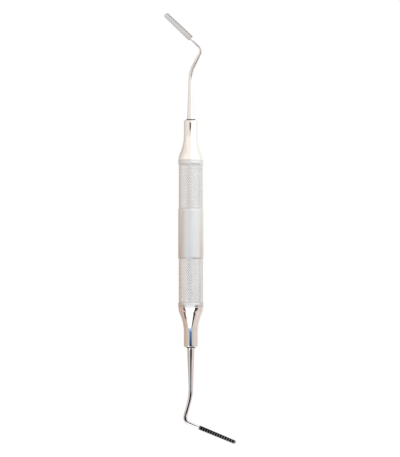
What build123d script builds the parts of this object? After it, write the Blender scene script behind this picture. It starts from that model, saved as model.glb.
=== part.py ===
from build123d import *
from dataclasses import dataclass
from math import cos, radians, sin, sqrt
import os

os.makedirs("parts", exist_ok=True)

# Double-ended bone file for dental surgery. A hollow handle lies along X with its middle
# at the origin. Each end of it holds a polished nose, and each nose a bent tapered shank
# that ends in a toothed bar. Both shanks bend in the XY plane. All sizes are in mm.

# Handle
handle_length = 90.0  # from nose tip to nose tip
handle_radius = 5.0
half_handle = handle_length / 2

# Nose: a plain cylinder at its tip, then a trumpet flare out to nearly the handle's radius
nose_radius = 2.78
nose_corner_radius = 0.65
nose_plain_length = 5.9
flare_angle = 24.5  # slope of the flare where its hollow arc meets its crown arc, in degrees
flare_hollow_radius = 17.5
shoulder_step = 0.05  # the shoulder of the nose is this much lower than the barrel

# Spigot of the nose inside the barrel, with the groove of its O-ring
spigot_radius = 4.1
spigot_length = 6.0
groove_depth = 0.85
groove_width = 1.2
groove_from_shoulder = 2.4

# Tang of the shank inside the nose
tang_radius = 1.3
tang_length = 11.5
tang_clearance = 0.02
bore_depth = 12.0
back_bore_radius = 2.6
back_bore_depth = 7.0

# Ring between the face of the nose and the foot of the shank
washer_radius = 1.78
washer_thickness = 0.35

# Barrel: a plain band in the middle and a grooved grip on each side of it
plain_band_length = 20.0
grip_grooves = 18  # in each grip
grip_pitch = 0.96
grip_relief = 0.2  # depth of the crests of the grip under the plain band
grip_groove_depth = 0.2
edge_break = 0.15

# Foot of the shank
foot_radius = 1.66
foot_length = 0.6

# Toothed bar
bar_base_size = (2.3, 1.6)  # width and thickness
bar_tip_size = (2.08, 1.36)
bar_corner = 0.24
bar_tip_rounding = 0.7  # length of the rounded tip as a share of half the bar's width
notches = 14  # in each of the two narrow faces
notch_depth = 0.28
cutting_flank = 0.18  # length of the steep flank, which faces the handle and cuts on the pull
back_flank = 0.56  # length of the slanted flank behind the tooth before it


@dataclass
class WorkingEnd:
    """The sizes of one bent shank with its toothed bar, seen with the handle at its left."""

    name: str
    side: int  # +1 at the +X end of the handle, -1 at the other
    first_reach: float  # from the nose tip to the corner of the first bend
    first_turn: float
    first_radius: float
    middle_reach: float  # from corner to corner
    second_turn: float
    second_radius: float
    neck_reach: float  # from the second corner to the bar
    shank_radii: tuple  # at the foot, at both ends of each bend, and at the bar
    bar_length: float
    bar_roll: float  # about its own line: 0 with a broad face up, 90 with a narrow one up
    first_notch: float  # from the foot of the bar
    notch_pitch: float


upper_end = WorkingEnd(
    name="upper",
    side=1,
    first_reach=19.1,
    first_turn=26.6,
    first_radius=11.0,
    middle_reach=10.06,
    second_turn=73.1,
    second_radius=2.4,
    neck_reach=6.15,
    shank_radii=(1.5, 0.91, 0.83, 0.69, 0.65, 0.56),
    bar_length=14.1,
    bar_roll=-10,
    first_notch=0.42,
    notch_pitch=0.98,
)
lower_end = WorkingEnd(
    name="lower",
    side=-1,
    first_reach=19.1,
    first_turn=14.7,
    first_radius=24.0,
    middle_reach=10.65,
    second_turn=82.1,
    second_radius=2.5,
    neck_reach=6.45,
    shank_radii=(1.48, 0.9, 0.81, 0.78, 0.72, 0.56),
    bar_length=15.7,
    bar_roll=82,
    first_notch=1.1,
    notch_pitch=1.04,
)
working_ends = (upper_end, lower_end)


def outward_plane(side):
    """The XY plane, turned so that its x points outward along the handle at this end."""
    return Plane(origin=(0, 0, 0), x_dir=(side, 0, 0), z_dir=(0, 0, 1))


def shank_route(end):
    """The centre line of the shank: three straight runs joined by two tangent arcs."""
    foot = Vector(half_handle + washer_thickness, 0)
    first_corner = Vector(half_handle + end.first_reach, 0)
    middle_direction = Vector(1, 0).rotate(Axis.Z, -end.first_turn)
    second_corner = first_corner + middle_direction * end.middle_reach
    neck_direction = middle_direction.rotate(Axis.Z, end.second_turn)
    bar_foot = second_corner + neck_direction * end.neck_reach
    corners = [foot, first_corner, second_corner, bar_foot]
    with BuildLine() as route:
        FilletPolyline(
            [corner * end.side for corner in corners],
            radius=[end.first_radius, end.second_radius],
        )
    return route.edges().sort_by_distance(foot * end.side)


def bar_side(end, base_half, tip_half, depth):
    """Points along one side of the bar, from its foot to the start of its rounded tip."""

    def half_at(distance):
        return base_half + (tip_half - base_half) * distance / end.bar_length

    points = [(0, base_half)]
    for number in range(notches if depth else 0):
        root = end.first_notch + number * end.notch_pitch
        start = root - back_flank
        finish = root + cutting_flank
        if start > 0:
            points.append((start, half_at(start)))
        points.append((root, half_at(root) - depth))
        points.append((finish, half_at(finish)))
    shoulder = end.bar_length - bar_tip_rounding * tip_half
    points.append((shoulder, half_at(shoulder)))
    return points


def bar_outline(end, base_size, tip_size, depth=0):
    """The closed outline of the bar in one view, with its rounded tip and any notches."""
    left_side = bar_side(end, base_size / 2, tip_size / 2, depth)
    right_side = [(x, -y) for x, y in left_side]
    with BuildLine() as outline:
        Polyline(left_side)
        ThreePointArc(left_side[-1], (end.bar_length, 0), right_side[-1])
        Polyline(right_side)
        Line(left_side[0], right_side[0])
    return outline.edges()


def toothed_bar(end, foot_plane):
    """A tapering bar along the x of its foot plane, with notches across its narrow faces."""
    base_width, base_thickness = bar_base_size
    tip_width, tip_thickness = bar_tip_size
    broad_outline = bar_outline(end, base_width, tip_width, notch_depth)
    narrow_outline = bar_outline(end, base_thickness, tip_thickness)
    section_plane = Plane(foot_plane.origin, x_dir=foot_plane.y_dir, z_dir=foot_plane.x_dir)
    side_plane = Plane(foot_plane.origin, x_dir=foot_plane.x_dir, z_dir=-foot_plane.y_dir)
    with BuildPart() as bar:
        with BuildSketch(section_plane) as base_section:
            Rectangle(base_width, base_thickness)
            chamfer(base_section.vertices(), bar_corner)
        with BuildSketch(section_plane.offset(end.bar_length)) as tip_section:
            Rectangle(tip_width, tip_thickness)
            chamfer(tip_section.vertices(), bar_corner)
        loft(ruled=True)
        with BuildSketch(foot_plane):
            make_face(broad_outline)
        extrude(amount=base_width, both=True, mode=Mode.INTERSECT)
        with BuildSketch(side_plane):
            make_face(narrow_outline)
        extrude(amount=base_width, both=True, mode=Mode.INTERSECT)
    return bar.part


# Lengths that follow from the flare of the nose
shoulder_radius = handle_radius - shoulder_step
flare_radii_sum = (shoulder_radius - nose_radius) / (1 - cos(radians(flare_angle)))
flare_crown_radius = flare_radii_sum - flare_hollow_radius
flare_length = flare_radii_sum * sin(radians(flare_angle))
shoulder_x = half_handle - nose_plain_length - flare_length  # where the barrel starts
spigot_end_x = shoulder_x - spigot_length
groove_x = shoulder_x - groove_from_shoulder - groove_width / 2
seal_radius = groove_depth / 2
seal_ring_radius = spigot_radius - seal_radius

for end in working_ends:
    # Nose: turned from rod, bored from the tip for the tang and from the back to save weight
    with BuildPart() as nose:
        with BuildSketch(outward_plane(end.side)):
            with BuildLine():
                face = Line((half_handle, 0), (half_handle, nose_radius - nose_corner_radius))
                corner = JernArc(face @ 1, (0, 1), nose_corner_radius, 90)
                plain = Line(corner @ 1, (half_handle - nose_plain_length, nose_radius))
                hollow = JernArc(plain @ 1, (-1, 0), flare_hollow_radius, -flare_angle)
                crown = JernArc(hollow @ 1, hollow % 1, flare_crown_radius, flare_angle)
                Polyline(
                    crown @ 1,
                    (shoulder_x, spigot_radius),
                    (spigot_end_x, spigot_radius),
                    (spigot_end_x, back_bore_radius),
                    (spigot_end_x + back_bore_depth, back_bore_radius),
                    (spigot_end_x + back_bore_depth, 0),
                    (half_handle, 0),
                )
            make_face()
            with Locations((groove_x, spigot_radius)):
                Rectangle(groove_width, 2 * groove_depth, mode=Mode.SUBTRACT)
            with Locations((half_handle, 0)):
                bore_size = (2 * bore_depth, 2 * (tang_radius + tang_clearance))
                Rectangle(*bore_size, mode=Mode.SUBTRACT)
        revolve(axis=Axis.X)
    nose.part.label = f"{end.name}_nose"
    export_step(nose.part, f"parts/{end.name}_nose.step")

    # O-ring in the groove of the spigot, which keeps the hollow handle dry inside
    with BuildPart() as seal:
        with BuildSketch(outward_plane(end.side)):
            with Locations((groove_x, seal_ring_radius)):
                Circle(seal_radius)
        revolve(axis=Axis.X)
    seal.part.label = f"{end.name}_nose_seal"
    export_step(seal.part, f"parts/{end.name}_nose_seal.step")

    # Dark ring between the face of the nose and the foot of the shank
    with BuildPart() as washer:
        with BuildSketch(Plane(origin=(end.side * half_handle, 0, 0), z_dir=(end.side, 0, 0))):
            Circle(washer_radius)
            Circle(tang_radius, mode=Mode.SUBTRACT)
        extrude(amount=washer_thickness)
    washer.part.label = f"{end.name}_tip_washer"
    export_step(washer.part, f"parts/{end.name}_tip_washer.step")

    # Insert: tang, shank and toothed bar, machined from one rod and then bent
    route = shank_route(end)
    bar_foot = route[-1] @ 1
    bar_direction = route[-1] % 1
    bar_normal = Vector(0, 0, 1).rotate(Axis(bar_foot, bar_direction), end.bar_roll)
    bar = toothed_bar(end, Plane(bar_foot, x_dir=bar_direction, z_dir=bar_normal))
    with BuildPart() as insert:
        foot_plane = Plane(route[0] @ 0, z_dir=route[0] % 0)
        with BuildSketch(foot_plane):
            Circle(tang_radius)
        extrude(amount=-tang_length)
        for run, start_radius, end_radius in zip(route, end.shank_radii, end.shank_radii[1:]):
            with BuildSketch(Plane(run @ 0, z_dir=run % 0)) as start_section:
                Circle(start_radius)
            with BuildSketch(Plane(run @ 1, z_dir=run % 1)) as end_section:
                Circle(end_radius)
            if run.geom_type == GeomType.LINE:
                loft()
            else:
                sweep(path=run, multisection=True)
        with BuildSketch(foot_plane):
            Circle(foot_radius)
        with BuildSketch(foot_plane.offset(foot_length)):
            Circle(end.shank_radii[0])
        loft()
        add(bar)
    insert.part.label = f"{end.name}_insert"
    export_step(insert.part, f"parts/{end.name}_insert.step")

# Barrel: a tube with a plain band in the middle and a grip of V-grooves on each side of it
barrel_wall = handle_radius - spigot_radius
grip_radius = handle_radius - grip_relief
grip_length = grip_grooves * grip_pitch
grip_middle = (plain_band_length + grip_length) / 2
first_groove = (plain_band_length + grip_pitch) / 2
groove_side = grip_groove_depth * sqrt(2)
with BuildPart() as barrel:
    with BuildSketch(Plane.XY):
        with Locations((0, spigot_radius + barrel_wall / 2)):
            Rectangle(2 * shoulder_x, barrel_wall)
        with Locations((grip_middle, handle_radius), (-grip_middle, handle_radius)):
            Rectangle(grip_length, 2 * grip_relief, mode=Mode.SUBTRACT)
        for number in range(grip_grooves):
            place = first_groove + number * grip_pitch
            with Locations((place, grip_radius), (-place, grip_radius)):
                Rectangle(groove_side, groove_side, rotation=45, mode=Mode.SUBTRACT)
    revolve(axis=Axis.X)
    rims = barrel.edges().filter_by(GeomType.CIRCLE).group_by(SortBy.RADIUS)[-1]
    chamfer([rims.sort_by(Axis.X)[0], rims.sort_by(Axis.X)[-1]], edge_break)
barrel.part.label = "barrel"
export_step(barrel.part, "parts/barrel.step")
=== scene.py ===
from dataclasses import dataclass
from math import ceil, cos, hypot, pi, radians, sin, sqrt, tan

import bpy
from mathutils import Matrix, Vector


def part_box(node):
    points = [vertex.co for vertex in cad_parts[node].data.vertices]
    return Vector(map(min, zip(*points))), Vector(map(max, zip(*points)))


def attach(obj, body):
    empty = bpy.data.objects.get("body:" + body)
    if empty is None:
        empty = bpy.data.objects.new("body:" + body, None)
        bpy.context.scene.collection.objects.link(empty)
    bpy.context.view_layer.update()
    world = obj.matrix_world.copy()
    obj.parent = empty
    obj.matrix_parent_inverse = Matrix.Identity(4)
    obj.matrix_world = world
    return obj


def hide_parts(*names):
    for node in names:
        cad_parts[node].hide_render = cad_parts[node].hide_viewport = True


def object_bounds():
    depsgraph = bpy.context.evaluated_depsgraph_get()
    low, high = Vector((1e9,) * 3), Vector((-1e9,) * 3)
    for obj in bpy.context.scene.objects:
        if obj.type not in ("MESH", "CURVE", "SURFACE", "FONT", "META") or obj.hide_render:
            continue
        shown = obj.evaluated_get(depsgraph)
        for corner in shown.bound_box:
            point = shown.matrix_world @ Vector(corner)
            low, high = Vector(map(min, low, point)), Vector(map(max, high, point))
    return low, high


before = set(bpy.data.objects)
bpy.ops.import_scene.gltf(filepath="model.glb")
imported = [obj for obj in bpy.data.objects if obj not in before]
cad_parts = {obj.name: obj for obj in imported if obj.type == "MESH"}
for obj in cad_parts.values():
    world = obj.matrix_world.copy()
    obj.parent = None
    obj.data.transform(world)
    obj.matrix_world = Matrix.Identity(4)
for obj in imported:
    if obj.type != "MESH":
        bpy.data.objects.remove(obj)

# A double-ended bone file lying flat: handle along X, both shanks bent in the XY plane.
# Shapes are worked out in millimetres, and made_object() turns them into metres.
MM = 0.001
cad_low, cad_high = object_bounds()

# Places that come from the frame, in millimetres
HALF_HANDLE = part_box("upper_nose")[1].x / MM
SHOULDER_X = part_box("barrel")[1].x / MM
HANDLE_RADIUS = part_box("barrel")[1].z / MM
SHOULDER_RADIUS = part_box("upper_nose")[1].z / MM
SPIGOT_END_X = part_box("upper_nose")[0].x / MM
WASHER_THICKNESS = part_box("upper_tip_washer")[1].x / MM - HALF_HANDLE
SEAL_MIDDLE_X = (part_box("upper_nose_seal")[0].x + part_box("upper_nose_seal")[1].x) / 2 / MM

# Nose
NOSE_RADIUS = 2.78
NOSE_CORNER_RADIUS = 0.65
NOSE_PLAIN_LENGTH = 5.9
FLARE_ANGLE = 24.5
FLARE_HOLLOW_RADIUS = 17.5
SPIGOT_RADIUS = 4.1
SEAL_GROOVE_DEPTH = 0.85
SEAL_GROOVE_WIDTH = 1.2
TANG_RADIUS = 1.3
TANG_LENGTH = 11.5
BORE_RADIUS = 1.32
BORE_DEPTH = 12.0
BACK_BORE_RADIUS = 2.6
BACK_BORE_DEPTH = 7.0

# Barrel
PLAIN_BAND_LENGTH = 20.0
GRIP_LENGTH = 17.28
GRIP_RELIEF = 0.2
KNURL_DEPTH = 0.2
KNURLS_ROUND = 32
SAMPLES_PER_KNURL = 8
KNURL_LENGTH = GRIP_LENGTH / 15
KNURL_STEEPNESS = 1.35  # more than 1 cuts the diamonds' points off flat
EDGE_BREAK = 0.15

# Foot of the shank and toothed bar
FOOT_RADIUS = 1.66
FOOT_LENGTH = 0.6
FOOT_EDGE_BREAK = 0.03
BAR_BASE = (2.3, 1.6)
BAR_TIP = (2.08, 1.36)
BAR_CORNER = 0.22
BAR_EDGE_BREAK = 0.06
BAR_TIP_ROUNDING = 0.7  # its length, as a share of half the bar's size at the tip
NOTCHES = 14
NOTCH_DEPTH = 0.28
NOTCH_SHAPE = (  # distance from the root along the bar, and share of the full depth
    (-0.6, 0.0),
    (-0.52, 0.05),
    (-0.05, 0.93),
    (0.0, 1.0),
    (0.02, 0.97),
    (0.15, 0.06),
    (0.2, 0.0),
)

# Fineness of the meshes
CORNER_POINTS = 12  # in each quarter of a shank's or bar's section
LATHE_SEGMENTS = 192
SHANK_STEP = 0.5


@dataclass
class WorkingEnd:
    """The sizes of one bent shank with its toothed bar, seen with the handle at its left.

    shank_radii are those where its five runs start and end. The land shade is the painted shade that
    darkens the notched faces between the notches, from 0 to 1."""

    name: str
    side: int
    first_reach: float
    first_turn: float
    first_radius: float
    middle_reach: float
    second_turn: float
    second_radius: float
    neck_reach: float
    shank_radii: tuple
    bar_length: float
    bar_roll: float
    painted_land_shade: float
    first_notch: float
    notch_pitch: float


UPPER_END = WorkingEnd(
    name="upper",
    side=1,
    first_reach=19.1,
    first_turn=26.6,
    first_radius=11.0,
    middle_reach=10.06,
    second_turn=73.1,
    second_radius=2.4,
    neck_reach=6.15,
    shank_radii=(1.5, 0.91, 0.83, 0.69, 0.65, 0.56),
    bar_length=14.1,
    bar_roll=-10.0,
    painted_land_shade=0.15,
    first_notch=0.42,
    notch_pitch=0.98,
)
LOWER_END = WorkingEnd(
    name="lower",
    side=-1,
    first_reach=19.1,
    first_turn=14.7,
    first_radius=24.0,
    middle_reach=10.65,
    second_turn=82.1,
    second_radius=2.5,
    neck_reach=6.45,
    shank_radii=(1.48, 0.9, 0.81, 0.78, 0.72, 0.56),
    bar_length=15.7,
    bar_roll=82.0,
    # The lower bar's notched faces get far more painted shade than the upper bar's, so that they look
    # nearly black.
    painted_land_shade=0.7,
    first_notch=1.1,
    notch_pitch=1.04,
)


# ---------------------------------------------------------------- shapes


def smoothstep(low, high, value):
    """0 below low, 1 above high, and a smooth rise between them."""
    share = min(1.0, max(0.0, (value - low) / (high - low)))
    return share * share * (3 - 2 * share)


def blend(first, second, share):
    """A point or colour part of the way from the first to the second."""
    return tuple(a + (b - a) * share for a, b in zip(first, second))


def trace(start, heading, runs, step, step_turn=4.0):
    """Walk along straight and curved runs, each (length, turn in degrees).

    Gives (point, heading, run number, share of that run) for each stop on the way."""
    x, y = start
    stops = [((x, y), heading, 0, 0.0)]
    for number, (length, turn) in enumerate(runs):
        steps = max(1, ceil(length / step), ceil(abs(turn) / step_turn))
        half_turn = radians(turn) / steps / 2
        chord = length / steps * (sin(half_turn) / half_turn if turn else 1)
        for stop in range(1, steps + 1):
            middle_heading = radians(heading) + half_turn
            x += chord * cos(middle_heading)
            y += chord * sin(middle_heading)
            heading += turn / steps
            stops.append(((x, y), heading, number, stop / steps))
    return stops


def eased(points, reach, steps=3):
    """The polyline with each inner corner rounded off over a short reach."""
    result = [points[0]]
    for before, corner, after in zip(points, points[1:], points[2:]):
        arrival = hypot(before[0] - corner[0], before[1] - corner[1])
        departure = hypot(after[0] - corner[0], after[1] - corner[1])
        first = blend(corner, before, min(0.4, reach / arrival))
        last = blend(corner, after, min(0.4, reach / departure))
        for step in range(steps + 1):
            share = step / steps
            inward = blend(first, corner, share)
            outward = blend(corner, last, share)
            result.append(blend(inward, outward, share))
    result.append(points[-1])
    return result


def made_object(name, side, points, faces, materials, sharp_angle=32.0, stretches=()):
    """A piece from points in millimetres; at the -X end they are turned half round Z.

    stretches are (first face, last face, material number) for all but the first material."""
    mesh = bpy.data.meshes.new(name)
    placed = [(side * x * MM, side * y * MM, z * MM) for x, y, z in points]
    mesh.from_pydata(placed, [], faces)
    for material in materials:
        mesh.materials.append(material)
    for first, last, number in stretches:
        for index in range(first, last):
            mesh.polygons[index].material_index = number
    mesh.shade_smooth()
    mesh.set_sharp_from_angle(angle=radians(sharp_angle))
    mesh.update()
    piece = bpy.data.objects.new(name, mesh)
    bpy.context.scene.collection.objects.link(piece)
    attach(piece, "root")
    return piece


def lathe(profile, segments=LATHE_SEGMENTS):
    """Points and faces of a solid turned about X. The profile is (x, radius), and it runs
    anticlockwise seen with x to the right, from the axis to the axis or round a loop."""
    points = []
    rows = []
    for x, radius in profile:
        if radius < 1e-6:
            rows.append([len(points)] * segments)
            points.append((x, 0.0, 0.0))
            continue
        rows.append(list(range(len(points), len(points) + segments)))
        for number in range(segments):
            angle = 2 * pi * number / segments
            points.append((x, radius * cos(angle), radius * sin(angle)))
    faces = []
    for first, second in zip(rows, rows[1:]):
        for number in range(segments):
            after = (number + 1) % segments
            corners = [first[number], second[number], second[after], first[after]]
            faces.append(tuple(dict.fromkeys(corners)))
    return points, faces


def section(half_width, half_thickness, corner):
    """A rounded rectangle as (across, up) points; a circle when the corner is the half size."""
    points = []
    for quarter in range(4):
        across_sign = (1, -1, -1, 1)[quarter]
        up_sign = (1, 1, -1, -1)[quarter]
        for number in range(CORNER_POINTS):
            angle = pi / 2 * (quarter + (number + 0.5) / CORNER_POINTS)
            across = across_sign * (half_width - corner) + corner * cos(angle)
            up = up_sign * (half_thickness - corner) + corner * sin(angle)
            points.append((across, up))
    return points


def lofted(rings):
    """Points and faces of a closed solid through rings of equally many points."""
    size = len(rings[0])
    points = [point for ring in rings for point in ring]
    faces = []
    for row in range(len(rings) - 1):
        start = row * size
        for number in range(size):
            after = (number + 1) % size
            faces.append((start + number, start + after, start + size + after, start + size + number))
    for ring, flip in ((0, True), (len(rings) - 1, False)):
        centre = Vector((0, 0, 0))
        for point in rings[ring]:
            centre += Vector(point) / size
        points.append(tuple(centre))
        for number in range(size):
            after = (number + 1) % size
            pair = (ring * size + number, ring * size + after)
            faces.append((pair[1], pair[0], len(points) - 1) if flip else (*pair, len(points) - 1))
    return points, faces


# ---------------------------------------------------------------- materials


def new_material(name):
    """A node material; gives the material, its node tree and its Principled shader."""
    material = bpy.data.materials.new(name)
    material.use_nodes = True
    tree = material.node_tree
    return material, tree, tree.nodes["Principled BSDF"]


def noise(tree, scale, detail=4.0, stretch=(1, 1, 1)):
    """The value output of a noise in object space, stretched along the axes."""
    coordinates = tree.nodes.new("ShaderNodeTexCoord")
    mapping = tree.nodes.new("ShaderNodeMapping")
    mapping.inputs["Scale"].default_value = stretch
    texture = tree.nodes.new("ShaderNodeTexNoise")
    texture.inputs["Scale"].default_value = scale
    texture.inputs["Detail"].default_value = detail
    tree.links.new(coordinates.outputs["Object"], mapping.inputs["Vector"])
    tree.links.new(mapping.outputs["Vector"], texture.inputs["Vector"])
    return texture.outputs["Fac"]


def ranged(tree, value, low, high, new_low, new_high):
    """The value moved from one range to another."""
    node = tree.nodes.new("ShaderNodeMapRange")
    node.inputs["From Min"].default_value = low
    node.inputs["From Max"].default_value = high
    node.inputs["To Min"].default_value = new_low
    node.inputs["To Max"].default_value = new_high
    tree.links.new(value, node.inputs["Value"])
    return node.outputs["Result"]


def mixed_colour(tree, share, first, second):
    """A colour that runs from the first to the second with a share that is an output."""
    node = tree.nodes.new("ShaderNodeMix")
    node.data_type = "RGBA"
    tree.links.new(share, node.inputs["Factor"])
    for socket, colour in (("A", first), ("B", second)):
        target = [i for i in node.inputs if i.name == socket and i.type == "RGBA"][0]
        if isinstance(colour, tuple):
            target.default_value = (*colour, 1)
        else:
            tree.links.new(colour, target)
    return [o for o in node.outputs if o.type == "RGBA"][0]


def bumped(tree, shader, height, strength, distance):
    """Add a bump to the shader's normal."""
    node = tree.nodes.new("ShaderNodeBump")
    node.inputs["Strength"].default_value = strength
    node.inputs["Distance"].default_value = distance
    tree.links.new(height, node.inputs["Height"])
    tree.links.new(node.outputs["Normal"], shader.inputs["Normal"])


def polished_steel():
    """Mirror-polished stainless steel with faint polishing lines along the handle."""
    material, tree, shader = new_material("polished_steel")
    shader.inputs["Metallic"].default_value = 1.0
    cloud = ranged(tree, noise(tree, 60), 0.35, 0.65, 0, 1)
    tint = mixed_colour(tree, cloud, (0.81, 0.79, 0.765), (0.83, 0.81, 0.785))
    tree.links.new(tint, shader.inputs["Base Color"])
    wear = ranged(tree, noise(tree, 900, 6, (0.08, 1, 1)), 0.3, 0.7, 0.035, 0.075)
    tree.links.new(wear, shader.inputs["Roughness"])
    bumped(tree, shader, noise(tree, 2500, 3, (0.05, 1, 1)), 0.03, 0.00002)
    return material


def ground_steel():
    """Fine-ground steel of the toothed bars, with painted shade on the notched narrow faces and,
    darkest, down in the gullets between the teeth, where it also stands for residue.
    """
    material, tree, shader = new_material("ground_steel")
    shader.inputs["Metallic"].default_value = 1.0
    painted_shade_and_residue = tree.nodes.new("ShaderNodeAttribute")
    painted_shade_and_residue.attribute_name = "painted_shade_and_residue"
    grain = noise(tree, 2600, 5)
    face = mixed_colour(tree, grain, (0.55, 0.535, 0.52), (0.71, 0.69, 0.675))
    # The near-black colour is painted shade on the notched faces and in the gullets, where it also
    # stands for residue.
    colour = mixed_colour(tree, painted_shade_and_residue.outputs["Fac"], face, (0.012, 0.012, 0.013))
    tree.links.new(colour, shader.inputs["Base Color"])
    tree.links.new(ranged(tree, grain, 0.3, 0.7, 0.22, 0.34), shader.inputs["Roughness"])
    bumped(tree, shader, noise(tree, 5200, 4), 0.12, 0.00002)
    return material


def satin_steel():
    """Bead-blasted stainless steel of the barrel."""
    material, tree, shader = new_material("satin_steel")
    shader.inputs["Metallic"].default_value = 1.0
    cloud = noise(tree, 140, 3)
    colour = mixed_colour(tree, cloud, (0.66, 0.655, 0.645), (0.73, 0.725, 0.71))
    tree.links.new(colour, shader.inputs["Base Color"])
    grain = noise(tree, 4200, 4)
    tree.links.new(ranged(tree, grain, 0.3, 0.7, 0.26, 0.36), shader.inputs["Roughness"])
    bumped(tree, shader, grain, 0.10, 0.00003)
    return material


def black_rubber():
    """Black elastomer of the tip washers and the O-rings."""
    material, tree, shader = new_material("black_rubber")
    dust = noise(tree, 1500, 5)
    colour = mixed_colour(tree, dust, (0.012, 0.010, 0.010), (0.035, 0.030, 0.028))
    tree.links.new(colour, shader.inputs["Base Color"])
    tree.links.new(ranged(tree, dust, 0.3, 0.7, 0.38, 0.6), shader.inputs["Roughness"])
    bumped(tree, shader, dust, 0.15, 0.00003)
    return material


# ---------------------------------------------------------------- the instrument


def shank_runs(end):
    """Length and turn of the five runs of the shank, from its foot to the bar."""
    first_cut = end.first_radius * tan(radians(end.first_turn / 2))
    second_cut = end.second_radius * tan(radians(end.second_turn / 2))
    return [
        (end.first_reach - WASHER_THICKNESS - first_cut, 0.0),
        (end.first_radius * radians(end.first_turn), -end.first_turn),
        (end.middle_reach - first_cut - second_cut, 0.0),
        (end.second_radius * radians(end.second_turn), end.second_turn),
        (end.neck_reach - second_cut, 0.0),
    ]


def notch_inset(end, distance):
    """Share of the full notch depth at a distance along the bar, 0 on the lands."""
    for number in range(NOTCHES):
        root = end.first_notch + number * end.notch_pitch
        for (near, near_share), (far, far_share) in zip(NOTCH_SHAPE, NOTCH_SHAPE[1:]):
            if near <= distance - root <= far:
                share = (distance - root - near) / (far - near)
                return near_share + (far_share - near_share) * share
    return 0.0


def bar_half(end, distance, base, tip):
    """Half the bar's width or thickness at a distance along it, with its rounded tip."""
    tip_half = tip / 2
    length = end.bar_length
    rounding = BAR_TIP_ROUNDING * tip_half
    shoulder = length - rounding
    straight = (base + (tip - base) * min(distance, shoulder) / length) / 2
    if distance <= shoulder:
        return straight
    radius = (straight**2 + rounding**2) / (2 * rounding)
    return sqrt(max(0.0, radius**2 - (distance - length + radius) ** 2))


def bar_stations(end):
    """Distances along the bar at which it gets a ring of points."""
    after_edge = BAR_EDGE_BREAK + 0.01
    stations = {0.0, after_edge}
    for number in range(NOTCHES):
        root = end.first_notch + number * end.notch_pitch
        for offset, _ in NOTCH_SHAPE:
            if root + offset > after_edge + 0.01:
                stations.add(round(root + offset, 4))
    last_land = max(stations)
    rounding = BAR_TIP_ROUNDING * BAR_TIP[0] / 2
    for number in range(1, 10):
        station = end.bar_length - rounding * (1 - sin(radians(10 * number - 1)))
        if station > last_land + 0.02:
            stations.add(station)
    return sorted(stations)


def insert_rings(end):
    """Rings of points along tang, foot, shank and bar, the number of rings before the bar,
    and for each ring of the bar its notch share."""
    rings = []
    roll = radians(end.bar_roll)

    def add_ring(x, y, heading, half_width, half_thickness, corner):
        level = (-sin(radians(heading)), cos(radians(heading)))
        ring = []
        for width_step, thickness_step in section(half_width, half_thickness, corner):
            across = width_step * cos(roll) - thickness_step * sin(roll)
            up = width_step * sin(roll) + thickness_step * cos(roll)
            ring.append((x + level[0] * across, y + level[1] * across, up))
        rings.append(ring)

    foot_x = HALF_HANDLE + WASHER_THICKNESS
    tang_x = foot_x - TANG_LENGTH
    tang_and_foot = (
        (tang_x, TANG_RADIUS - EDGE_BREAK),
        (tang_x + EDGE_BREAK, TANG_RADIUS),
        (foot_x, TANG_RADIUS),
        (foot_x, FOOT_RADIUS - FOOT_EDGE_BREAK),
    )
    for x, radius in tang_and_foot:
        add_ring(x, 0, 0, radius, radius, radius)

    travelled = 0.0
    last_x, last_y = foot_x, 0.0
    stops = trace((foot_x, 0.0), 0.0, shank_runs(end), SHANK_STEP)
    for (x, y), heading, run, share in stops:
        travelled += hypot(x - last_x, y - last_y)
        last_x, last_y = x, y
        radius = end.shank_radii[run] + (end.shank_radii[run + 1] - end.shank_radii[run]) * share
        flare = max(0.0, 1 - travelled / FOOT_LENGTH)
        radius += (FOOT_RADIUS - end.shank_radii[0]) * flare**2
        add_ring(x, y, heading, radius, radius, radius)

    (foot_of_bar_x, foot_of_bar_y), heading, _, _ = stops[-1]
    rings_before_bar = len(rings)
    shares = []
    along = (cos(radians(heading)), sin(radians(heading)))
    for distance in bar_stations(end):
        share = notch_inset(end, distance)
        ease = BAR_EDGE_BREAK if distance == 0.0 else 0.0
        half_width = bar_half(end, distance, BAR_BASE[0], BAR_TIP[0]) - NOTCH_DEPTH * share - ease
        half_thickness = bar_half(end, distance, BAR_BASE[1], BAR_TIP[1]) - ease
        corner = min(BAR_CORNER, 0.9 * half_width, 0.9 * half_thickness)
        x = foot_of_bar_x + along[0] * distance
        y = foot_of_bar_y + along[1] * distance
        add_ring(x, y, heading, half_width, half_thickness, corner)
        shares.append(share)
    return rings, rings_before_bar, shares


def shade_and_residue_strength(end, number, share):
    """How much painted shade a point of a ring gets: the notched narrow faces, and most of all the
    gullets, where it also stands for residue.
    """
    angle = pi / 2 * (number + 0.5) / CORNER_POINTS
    on_narrow_face = smoothstep(0.15, 0.6, abs(cos(angle)))
    # Painted shade: the notched narrow faces get at least the land shade, and the gullets get the
    # full shade.
    return max(end.painted_land_shade, smoothstep(0.0, 0.05, share)) * on_narrow_face


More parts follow.
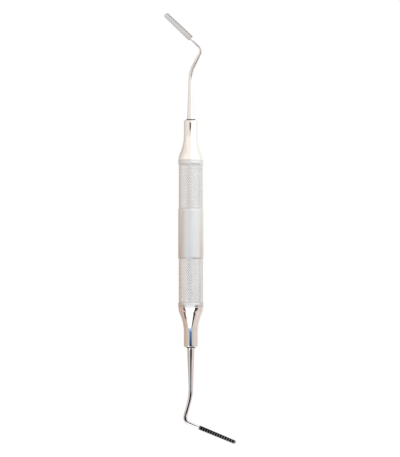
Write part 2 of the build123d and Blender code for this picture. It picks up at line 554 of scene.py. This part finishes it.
def make_insert(end, polish, ground):
    """Tang, bent shank and toothed bar as one solid."""
    rings, rings_before_bar, shares = insert_rings(end)
    points, faces = lofted(rings)
    size = len(rings[0])
    first_bar_face = (rings_before_bar - 1) * size
    last_bar_face = (len(rings) - 1) * size
    stretches = [(first_bar_face, last_bar_face, 1), (last_bar_face + size, len(faces), 1)]
    name = f"{end.name}_insert_mesh"
    piece = made_object(name, end.side, points, faces, [polish, ground], 25.0, stretches)
    # Sharp edges down both sides of the flat faces keep the notches from shading the flats.
    flat_ends = (CORNER_POINTS - 1, CORNER_POINTS, 3 * CORNER_POINTS - 1, 3 * CORNER_POINTS)
    for edge in piece.data.edges:
        first, second = sorted(edge.vertices)
        on_bar = first >= rings_before_bar * size and second - first == size
        if on_bar and first % size in flat_ends:
            edge.use_edge_sharp = True
    # This attribute carries the painted shade of the notches, and the gullets' residue, to the bars'
    # material.
    painted_shade_and_residue = piece.data.attributes.new("painted_shade_and_residue", "FLOAT", "POINT")
    for row, share in enumerate(shares):
        for number in range(size):
            index = (rings_before_bar + row) * size + number
            painted_shade_and_residue.data[index].value = shade_and_residue_strength(end, number, share)
    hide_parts(f"{end.name}_insert")
    return piece


def nose_profile():
    """Half section of the nose, from the bottom of its bore round to its back bore."""
    flare = radians(FLARE_ANGLE)
    crown_radius = (SHOULDER_RADIUS - NOSE_RADIUS) / (1 - cos(flare)) - FLARE_HOLLOW_RADIUS
    runs = [
        (NOSE_CORNER_RADIUS * pi / 2, 90.0),
        (NOSE_PLAIN_LENGTH - NOSE_CORNER_RADIUS, 0.0),
        (FLARE_HOLLOW_RADIUS * flare, -FLARE_ANGLE),
        (crown_radius * flare, FLARE_ANGLE),
    ]
    start = (HALF_HANDLE, NOSE_RADIUS - NOSE_CORNER_RADIUS)
    outside = [point for point, _, _, _ in trace(start, 90.0, runs, step=0.4, step_turn=1.5)]
    mouth = [
        (HALF_HANDLE - BORE_DEPTH, 0.0),
        (HALF_HANDLE - BORE_DEPTH, BORE_RADIUS),
        (HALF_HANDLE, BORE_RADIUS),
        (HALF_HANDLE, start[1]),
    ]
    groove_start = SEAL_MIDDLE_X + SEAL_GROOVE_WIDTH / 2
    groove_end = SEAL_MIDDLE_X - SEAL_GROOVE_WIDTH / 2
    back = [
        (SHOULDER_X, SHOULDER_RADIUS),
        (SHOULDER_X, SPIGOT_RADIUS),
        (groove_start, SPIGOT_RADIUS),
        (groove_start, SPIGOT_RADIUS - SEAL_GROOVE_DEPTH),
        (groove_end, SPIGOT_RADIUS - SEAL_GROOVE_DEPTH),
        (groove_end, SPIGOT_RADIUS),
        (SPIGOT_END_X, SPIGOT_RADIUS),
        (SPIGOT_END_X, BACK_BORE_RADIUS),
        (SPIGOT_END_X + BACK_BORE_DEPTH, BACK_BORE_RADIUS),
        (SPIGOT_END_X + BACK_BORE_DEPTH, 0.0),
    ]
    bore_side = eased(mouth, reach=0.06)
    spigot_side = eased([outside[-2], *back], reach=0.07)
    return bore_side[:-1] + outside[:-1] + spigot_side[1:]


def make_nose(end, polish):
    """The polished nose, turned from rod."""
    points, faces = lathe(nose_profile())
    piece = made_object(f"{end.name}_nose_mesh", end.side, points, faces, [polish])
    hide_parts(f"{end.name}_nose")
    return piece


def knurl_height(turn_share, x):
    """Height of the flat-topped diamonds at a place on the grip, from 0 to 1."""
    across = turn_share * KNURLS_ROUND
    along = x / KNURL_LENGTH
    heights = []
    for place in (across + along, across - along):
        heights.append(abs(2 * (place % 1) - 1))
    return min(1.0, min(heights) * KNURL_STEEPNESS)


def barrel_rows():
    """(x, radius, knurled) for the rows of the barrel's skin, from -X to +X outside and then
    back inside the bore."""
    grip_middle = (PLAIN_BAND_LENGTH + GRIP_LENGTH) / 2
    grip_radius = HANDLE_RADIUS - GRIP_RELIEF
    step = KNURL_LENGTH / SAMPLES_PER_KNURL
    count = round(GRIP_LENGTH / step)
    inner_x = grip_middle - GRIP_LENGTH / 2
    outer_x = grip_middle + GRIP_LENGTH / 2
    grip = [(inner_x + number * step, grip_radius, True) for number in range(count + 1)]
    positive = [
        (inner_x - 0.9, HANDLE_RADIUS, False),
        (inner_x - 0.24, HANDLE_RADIUS, False),
        (inner_x - 0.18, HANDLE_RADIUS - 0.02, False),
        (inner_x - 0.08, grip_radius, False),
        *grip,
        (outer_x + 0.08, grip_radius, False),
        (outer_x + 0.18, HANDLE_RADIUS - 0.02, False),
        (outer_x + 0.24, HANDLE_RADIUS, False),
        (SHOULDER_X - EDGE_BREAK - 0.05, HANDLE_RADIUS, False),
        (SHOULDER_X - EDGE_BREAK + 0.01, HANDLE_RADIUS - 0.02, False),
        (SHOULDER_X - 0.01, HANDLE_RADIUS - EDGE_BREAK, False),
        (SHOULDER_X, HANDLE_RADIUS - EDGE_BREAK - 0.04, False),
        (SHOULDER_X, SPIGOT_RADIUS, False),
    ]
    negative = [(-x, radius, knurled) for x, radius, knurled in reversed(positive)]
    middle = [(x, HANDLE_RADIUS, False) for x in (-6.0, 0.0, 6.0)]
    return negative + middle + positive


def make_barrel(satin):
    """The barrel, a tube with two diamond-knurled grips."""
    segments = KNURLS_ROUND * SAMPLES_PER_KNURL
    rows = barrel_rows()
    points = []
    for x, radius, knurled in rows:
        for number in range(segments):
            turn_share = number / segments
            height = knurl_height(turn_share, x) if knurled else 1.0
            reach = radius - KNURL_DEPTH * (1 - height)
            angle = 2 * pi * turn_share
            points.append((x, reach * cos(angle), reach * sin(angle)))
    faces = []
    for row in range(len(rows)):
        next_row = (row + 1) % len(rows)
        crease = rows[row][2] and rows[next_row][2]
        for number in range(segments):
            after = (number + 1) % segments
            a = row * segments + number
            b = row * segments + after
            c = next_row * segments + after
            d = next_row * segments + number
            if not crease:
                faces.append((a, b, c, d))
                continue
            middle_x = (rows[row][0] + rows[next_row][0]) / 2
            target = knurl_height((number + 0.5) / segments, middle_x)
            here = knurl_height(number / segments, rows[row][0])
            diagonal = knurl_height((number + 1) / segments, rows[next_row][0])
            if abs((here + diagonal) / 2 - target) < 0.01:
                faces.extend([(a, c, d), (a, b, c)])
            else:
                faces.extend([(a, b, d), (d, b, c)])
    piece = made_object("barrel_mesh", 1, points, faces, [satin], 20.0)
    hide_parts("barrel")
    return piece


# ---------------------------------------------------------------- stage, light and camera

LENS = 300.0
SENSOR = 36.0
FRAME_MARGIN = 1.06032  # height of the frame over the length of the instrument
TENT_RADIUS = 400.0
TENT_MIDDLE_STRETCH = 1.29  # the handle mirrors a stretch of tent this many times its length
HANDLE_TENT_REACH = 34.0  # half the length of the handle that has its own colours in the tent
NOSE_CARD_HEIGHT = 8.0
CROWN_CARD_HEIGHT = 12.0
CROWN_CARD_TAPER = 0.035  # how fast the card narrows away from the barrel, for each millimetre
RIBBON_STEP = 0.4
STEEL_COLOUR = (0.82, 0.80, 0.775)


def seen(red, green, blue, strength=1.0):
    """The light that the polished steel has to mirror to look like this 8-bit sRGB colour."""
    light = []
    for value, steel in zip((red, green, blue), STEEL_COLOUR):
        share = value / 255
        linear = share / 12.92 if share <= 0.04045 else ((share + 0.055) / 1.055) ** 2.4
        light.append(linear / steel * strength)
    return tuple(light)


SNOW = seen(255, 255, 255, 1.12)
IVORY = seen(255, 253, 243)
CREAM = seen(252, 243, 233)
SHELL = seen(232, 221, 211)
STONE = seen(224, 212, 200)
CLOUD = seen(231, 226, 221)
PEWTER = seen(206, 196, 188)
SAND = seen(200, 177, 158)
STRAW = seen(204, 197, 176)
PEARL = seen(190, 196, 186)
BLUSH = seen(220, 204, 197)
PUTTY = seen(199, 194, 194)
LILAC = seen(178, 172, 180)
SKY = seen(155, 178, 220)
STEEL_BLUE = seen(94, 118, 166)
NAVY = seen(48, 56, 88)
MAROON = seen(150, 104, 106)
UMBER = seen(58, 40, 36)
OLIVE = seen(60, 56, 49)
SLATE = seen(92, 83, 81)
SOOT = seen(84, 77, 78)
INK = seen(30, 25, 34)
DOVE = seen(219, 215, 215)
ASH = seen(192, 188, 187)
SHADE = seen(165, 161, 160)


def painted_glow():
    """A glow with the mesh's own colours."""
    material = bpy.data.materials.new("painted_glow")
    material.use_nodes = True
    tree = material.node_tree
    tree.nodes.clear()
    paint = tree.nodes.new("ShaderNodeAttribute")
    paint.attribute_name = "paint"
    glow = tree.nodes.new("ShaderNodeEmission")
    output = tree.nodes.new("ShaderNodeOutputMaterial")
    tree.links.new(paint.outputs["Color"], glow.inputs["Color"])
    tree.links.new(glow.outputs["Emission"], output.inputs["Surface"])
    material.cycles.emission_sampling = "NONE"
    return material


def make_card(name, points, faces, colours, glow):
    """A card with a colour at each of its points, in millimetres. The metal mirrors it, and
    nothing else sees it."""
    mesh = bpy.data.meshes.new(name)
    mesh.from_pydata([tuple(value * MM for value in point) for point in points], [], faces)
    paint = mesh.color_attributes.new("paint", "FLOAT_COLOR", "POINT")
    for item, colour in zip(paint.data, colours):
        item.color = (*colour, 1)
    mesh.materials.append(glow)
    card = bpy.data.objects.new(name, mesh)
    card.visible_camera = False
    card.visible_diffuse = False
    card.visible_shadow = False
    card.visible_transmission = False
    card.visible_volume_scatter = False
    bpy.context.scene.collection.objects.link(card)


def handle_tent(tilt):
    """Over the barrel: neutral light greys, white overhead and to the -Y side."""
    colour = blend(seen(198, 193, 190), seen(238, 237, 236), smoothstep(-95, -35, tilt))
    white_share = smoothstep(-20, 25, tilt) * smoothstep(95, 60, tilt)
    return blend(colour, seen(252, 252, 251), white_share)


def upper_tent(x, tilt):
    """Over the +X end: shell and cream on the +Y side, white on the other."""
    colour = blend(SHELL, CREAM, smoothstep(-92, -55, tilt))
    colour = blend(colour, STONE, 0.5 * smoothstep(80, 44, x))
    right_side = blend(IVORY, SNOW, smoothstep(43, 41, x))
    right_side = blend(right_side, SNOW, smoothstep(47, 52, x))
    return blend(colour, right_side, smoothstep(-12, 18, tilt))


def lower_sides(x, tilt):
    """The warm sides over the -X end, greyer where the bent shank mirrors them."""
    colour = blend(SAND, STRAW, smoothstep(-80, -45, tilt))
    colour = blend(colour, PEARL, smoothstep(-50, -30, tilt))
    colour = blend(colour, STRAW, smoothstep(26, 42, tilt))
    colour = blend(colour, BLUSH, smoothstep(40, 54, tilt))
    return blend(colour, PUTTY, 0.5 * smoothstep(-54, -66, x) * smoothstep(-112, -92, x))


def lower_tent(x, tilt):
    """Over the -X end: warm sides, a blue slot overhead, and further out a white gap with
    dark borders."""
    slot_colour = blend(STEEL_BLUE, SKY, smoothstep(-46, -66, x))
    slot = smoothstep(23, 15, abs(tilt + 4)) * smoothstep(-112, -100, x)
    colour = blend(lower_sides(x, tilt), slot_colour, slot)
    reach = max(0.0, -x - 100)
    left_edge = -30 - 2.0 * sqrt(reach)
    right_edge = 1.85 * sqrt(reach) - 1
    border = 12 + 0.1 * reach
    olive = smoothstep(right_edge + border, right_edge + 0.5 * border, tilt)
    olive *= smoothstep(right_edge - 5, right_edge, tilt) * smoothstep(0, 30, reach)
    colour = blend(colour, OLIVE, olive)
    stain_colour = blend(MAROON, UMBER, smoothstep(left_edge - 12, left_edge - 26, tilt))
    stain = smoothstep(left_edge + 2, left_edge - 6, tilt) * smoothstep(120, 170, reach)
    colour = blend(colour, stain_colour, stain)
    far_sides = smoothstep(400, 440, reach) * smoothstep(28, 45, abs(tilt))
    colour = blend(colour, SLATE, far_sides)
    gap = smoothstep(left_edge - 4, left_edge + 2, tilt)
    gap *= smoothstep(right_edge + 3, right_edge - 3, tilt) * smoothstep(0, 12, reach)
    return blend(colour, SNOW, gap)


def tent_colour(x, tilt):
    """Colour of the light tent. x is along the handle in millimetres, and tilt is in degrees
    from straight overhead, positive towards -Y."""
    stretched = HALF_HANDLE * TENT_MIDDLE_STRETCH
    shrunk = min(abs(x), stretched) / TENT_MIDDLE_STRETCH + max(0.0, abs(x) - stretched)
    if shrunk < HANDLE_TENT_REACH:
        return handle_tent(tilt)
    if x > 0:
        return upper_tent(shrunk, tilt)
    return lower_tent(-shrunk, tilt)


def floor_colour(x, y):
    """What the underside of the steel mirrors in place of the floor."""
    left = blend(seen(190, 168, 154), SAND, smoothstep(8, 26, y))
    left = blend(left, MAROON, smoothstep(30, 50, y) * smoothstep(-44, -52, x))
    right = blend(seen(226, 214, 207), seen(214, 201, 192), smoothstep(-6, -26, y))
    lower = blend(left, right, smoothstep(4, -4, y))
    lower = blend(lower, PUTTY, smoothstep(-50, -60, x) * smoothstep(26, 12, abs(y)))
    lower = blend(lower, LILAC, smoothstep(-72, -76, x))
    lower = blend(lower, SNOW, smoothstep(-88, -92, x))
    upper = blend(PEWTER, SHELL, smoothstep(12, 45, y))
    upper = blend(upper, seen(246, 243, 237), smoothstep(4, -4, y))
    return blend(lower, upper, smoothstep(-20, 20, x))


def painted_grid(name, columns, rows, place, colour, glow):
    """A card of place(column, row) points in millimetres, painted with colour(column, row)."""
    pairs = [(column, row) for column in columns for row in rows]
    faces = []
    for column in range(len(columns) - 1):
        for row in range(len(rows) - 1):
            start = column * len(rows) + row
            faces.append((start, start + 1, start + len(rows) + 1, start + len(rows)))
    points = [place(*pair) for pair in pairs]
    make_card(name, points, faces, [colour(*pair) for pair in pairs], glow)


def spread(fine_step, fine_limit, coarse_step, limit):
    """Values from -limit to limit, close together up to fine_limit."""
    values = [number * fine_step for number in range(round(fine_limit / fine_step) + 1)]
    while values[-1] < limit:
        values.append(values[-1] + coarse_step)
    return [-value for value in reversed(values[1:])] + values


def make_tent(glow):
    """A half tube over the instrument, and a plane under it, for the steel to mirror."""

    def on_tube(x, tilt):
        return x, -TENT_RADIUS * sin(radians(tilt)), TENT_RADIUS * cos(radians(tilt))

    def under_floor(x, y):
        return x, y, cad_low.z / MM - 0.5

    tent_along = spread(fine_step=0.6, fine_limit=120, coarse_step=8, limit=1200)
    tilts = spread(fine_step=1.5, fine_limit=60, coarse_step=2, limit=100)
    painted_grid("light_tent", tent_along, tilts, on_tube, tent_colour, glow)
    floor_along = spread(fine_step=5, fine_limit=120, coarse_step=80, limit=3000)
    floor_across = spread(fine_step=2, fine_limit=60, coarse_step=120, limit=3000)
    painted_grid("floor_mirrored", floor_along, floor_across, under_floor, floor_colour, glow)


def make_nose_cards(glow):
    """Small glowing cards close over the noses that paint reflections on them: the dark spot at +X
    and the blue slot at -X.
    """

    def spot_place(x, side):
        return x, 1.1 + side * (1.3 * smoothstep(39.0, 42.5, x) + 0.2), NOSE_CARD_HEIGHT

    def spot_colour(x, side):
        return blend(SLATE, STONE, smoothstep(42.0, 39.4, x))

    def slot_place(x, side):
        return x, 0.4 + 2.1 * side, NOSE_CARD_HEIGHT

    def slot_colour(x, side):
        return blend(NAVY, STEEL_BLUE, smoothstep(-44.5, -39.5, x))

    spot_columns = [39.2 + 0.5 * number for number in range(11)]
    painted_grid("upper_nose_spot", spot_columns, (-1, 1), spot_place, spot_colour, glow)
    slot_columns = [-45.4 + 0.5 * number for number in range(13)]
    painted_grid("lower_nose_slot", slot_columns, (-1, 1), slot_place, slot_colour, glow)


def make_crown_card(glow):
    """A card over the lower nose's crown, that keeps the white gap in the reflection and its
    dark borders open up to the barrel."""
    end_x = -29.4
    bands = {
        -44.0: BLUSH,
        -18.0: OLIVE,
        -8.3: OLIVE,
        -8.0: SNOW,
        14.0: SNOW,
        14.3: MAROON,
        24.0: UMBER,
        34.0: UMBER,
        48.0: SAND,
    }

    def place(x, y):
        return x, y * (1 + CROWN_CARD_TAPER * (x - end_x)), CROWN_CARD_HEIGHT

    def colour(x, y):
        return bands[y]

    painted_grid("lower_crown_gap", (-37.5, -33.5, end_x), list(bands), place, colour, glow)


def make_ribbon(name, end, height, stations, colour, glow):
    """A ribbon held close over a bent shank, that draws a line in the polished steel.

    stations are (distance along the shank, half width, shift to the left of the way out)."""
    points = []
    travelled = 0.0
    last_x, last_y = HALF_HANDLE, 0.0
    stops = trace((HALF_HANDLE, 0.0), 0.0, shank_runs(end), RIBBON_STEP)
    for (x, y), heading, _, _ in stops:
        travelled += hypot(x - last_x, y - last_y)
        last_x, last_y = x, y
        for first, second in zip(stations, stations[1:]):
            if not first[0] <= travelled < second[0]:
                continue
            share = (travelled - first[0]) / (second[0] - first[0])
            _, half_width, shift = blend(first, second, share)
            for step in (shift - half_width, shift + half_width):
                ribbon_x = x - sin(radians(heading)) * step
                ribbon_y = y + cos(radians(heading)) * step
                points.append((end.side * ribbon_x, end.side * ribbon_y, height))
    faces = [(n, n + 1, n + 3, n + 2) for n in range(0, len(points) - 2, 2)]
    make_card(name, points, faces, [colour] * len(points), glow)


def make_lower_ribbons(glow):
    """Painted reflections: the dark line along the lower shank, and the white on its neck."""
    line = (
        (0, 6.5, 1.5),
        (15, 5.5, 1.5),
        (22, 7, 1),
        (26.5, 9, 1),
        (28.5, 22, 2),
        (30.5, 5, 2.5),
        (36, 4, 2.5),
    )
    make_ribbon("lower_shank_line", LOWER_END, 12.0, line, INK, glow)
    neck = ((29, 1, 8), (30.5, 12, 14), (36, 12, 14))
    make_ribbon("lower_neck_white", LOWER_END, 12.5, neck, SNOW, glow)


def make_upper_ribbons(glow):
    """Painted reflections: the dark line along the upper shank's middle, and the greys beside it and
    on the neck.
    """
    shank_side = ((0.5, 14, 14), (19, 14, 14))
    make_ribbon("upper_shank_side", UPPER_END, 13.0, shank_side, CLOUD, glow)
    line = ((17.5, 0.1, -2), (21.5, 4.5, -6), (26, 5.5, -7), (28, 4, -5), (29.5, 0.2, -2))
    make_ribbon("upper_shank_line", UPPER_END, 11.0, line, SOOT, glow)
    middle_side = ((19, 14, 14), (21, 30, 31), (27, 30, 31), (29, 8, 9))
    make_ribbon("upper_middle_side", UPPER_END, 13.0, middle_side, DOVE, glow)
    neck = ((28, 2, 0), (30.5, 5.5, 0), (36, 5.5, 0))
    make_ribbon("upper_neck_grey", UPPER_END, 11.0, neck, ASH, glow)
    neck_side = ((29, 2, 8), (30.5, 9, 9), (36, 9, 9))
    make_ribbon("upper_neck_shade", UPPER_END, 12.0, neck_side, SHADE, glow)


def make_floor():
    """A plain pale floor that glows a little, so that it stays white round the instrument."""
    material, tree, shader = new_material("pale_floor")
    shader.inputs["Base Color"].default_value = (0.12, 0.12, 0.12, 1)
    shader.inputs["Roughness"].default_value = 0.9
    shader.inputs["Specular IOR Level"].default_value = 0.0
    shader.inputs["Emission Color"].default_value = (1, 1, 1, 1)
    shader.inputs["Emission Strength"].default_value = 0.9
    material.cycles.emission_sampling = "NONE"
    mesh = bpy.data.meshes.new("floor")
    mesh.from_pydata([(-4, -4, 0), (4, -4, 0), (4, 4, 0), (-4, 4, 0)], [], [(0, 1, 2, 3)])
    mesh.materials.append(material)
    floor = bpy.data.objects.new("floor", mesh)
    floor.location.z = cad_low.z
    floor.visible_glossy = False
    floor.visible_diffuse = False
    bpy.context.scene.collection.objects.link(floor)


def make_lights():
    """A white surround and one large soft lamp overhead."""
    world = bpy.data.worlds.new("white_surround")
    world.use_nodes = True
    world.node_tree.nodes["Background"].inputs["Color"].default_value = (1, 1, 1, 1)
    world.node_tree.nodes["Background"].inputs["Strength"].default_value = 1.0
    bpy.context.scene.world = world
    lamp_data = bpy.data.lights.new("soft_lamp", "AREA")
    lamp_data.shape = "DISK"
    lamp_data.size = 0.9
    lamp_data.energy = 1.0
    lamp = bpy.data.objects.new("soft_lamp", lamp_data)
    lamp.location = (0.15, 0.45, 1.1)
    lamp.rotation_euler = (-lamp.location).to_track_quat("-Z", "Y").to_euler()
    lamp.visible_glossy = False
    bpy.context.scene.collection.objects.link(lamp)


def make_camera():
    """Straight above the instrument, with +X up in the frame, from far off."""
    camera_data = bpy.data.cameras.new("camera")
    camera_data.lens = LENS
    camera_data.sensor_width = SENSOR
    camera = bpy.data.objects.new("camera", camera_data)
    bpy.context.scene.collection.objects.link(camera)
    distance = (cad_high.x - cad_low.x) * FRAME_MARGIN * LENS / SENSOR
    middle = (cad_low + cad_high) / 2
    camera.location = (middle.x, middle.y, distance)
    camera.rotation_euler = (0, 0, radians(-90))
    bpy.context.scene.camera = camera


polish = polished_steel()
ground = ground_steel()
satin = satin_steel()
rubber = black_rubber()
for working_end in (UPPER_END, LOWER_END):
    make_nose(working_end, polish)
    make_insert(working_end, polish, ground)
make_barrel(satin)
for node in ("upper_nose_seal", "lower_nose_seal", "upper_tip_washer", "lower_tip_washer"):
    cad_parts[node].data.materials.clear()
    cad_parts[node].data.materials.append(rubber)
make_floor()
painted = painted_glow()
make_tent(painted)
make_nose_cards(painted)
make_crown_card(painted)
make_lower_ribbons(painted)
make_upper_ribbons(painted)
make_lights()
make_camera()
bpy.context.scene.view_settings.view_transform = "Standard"
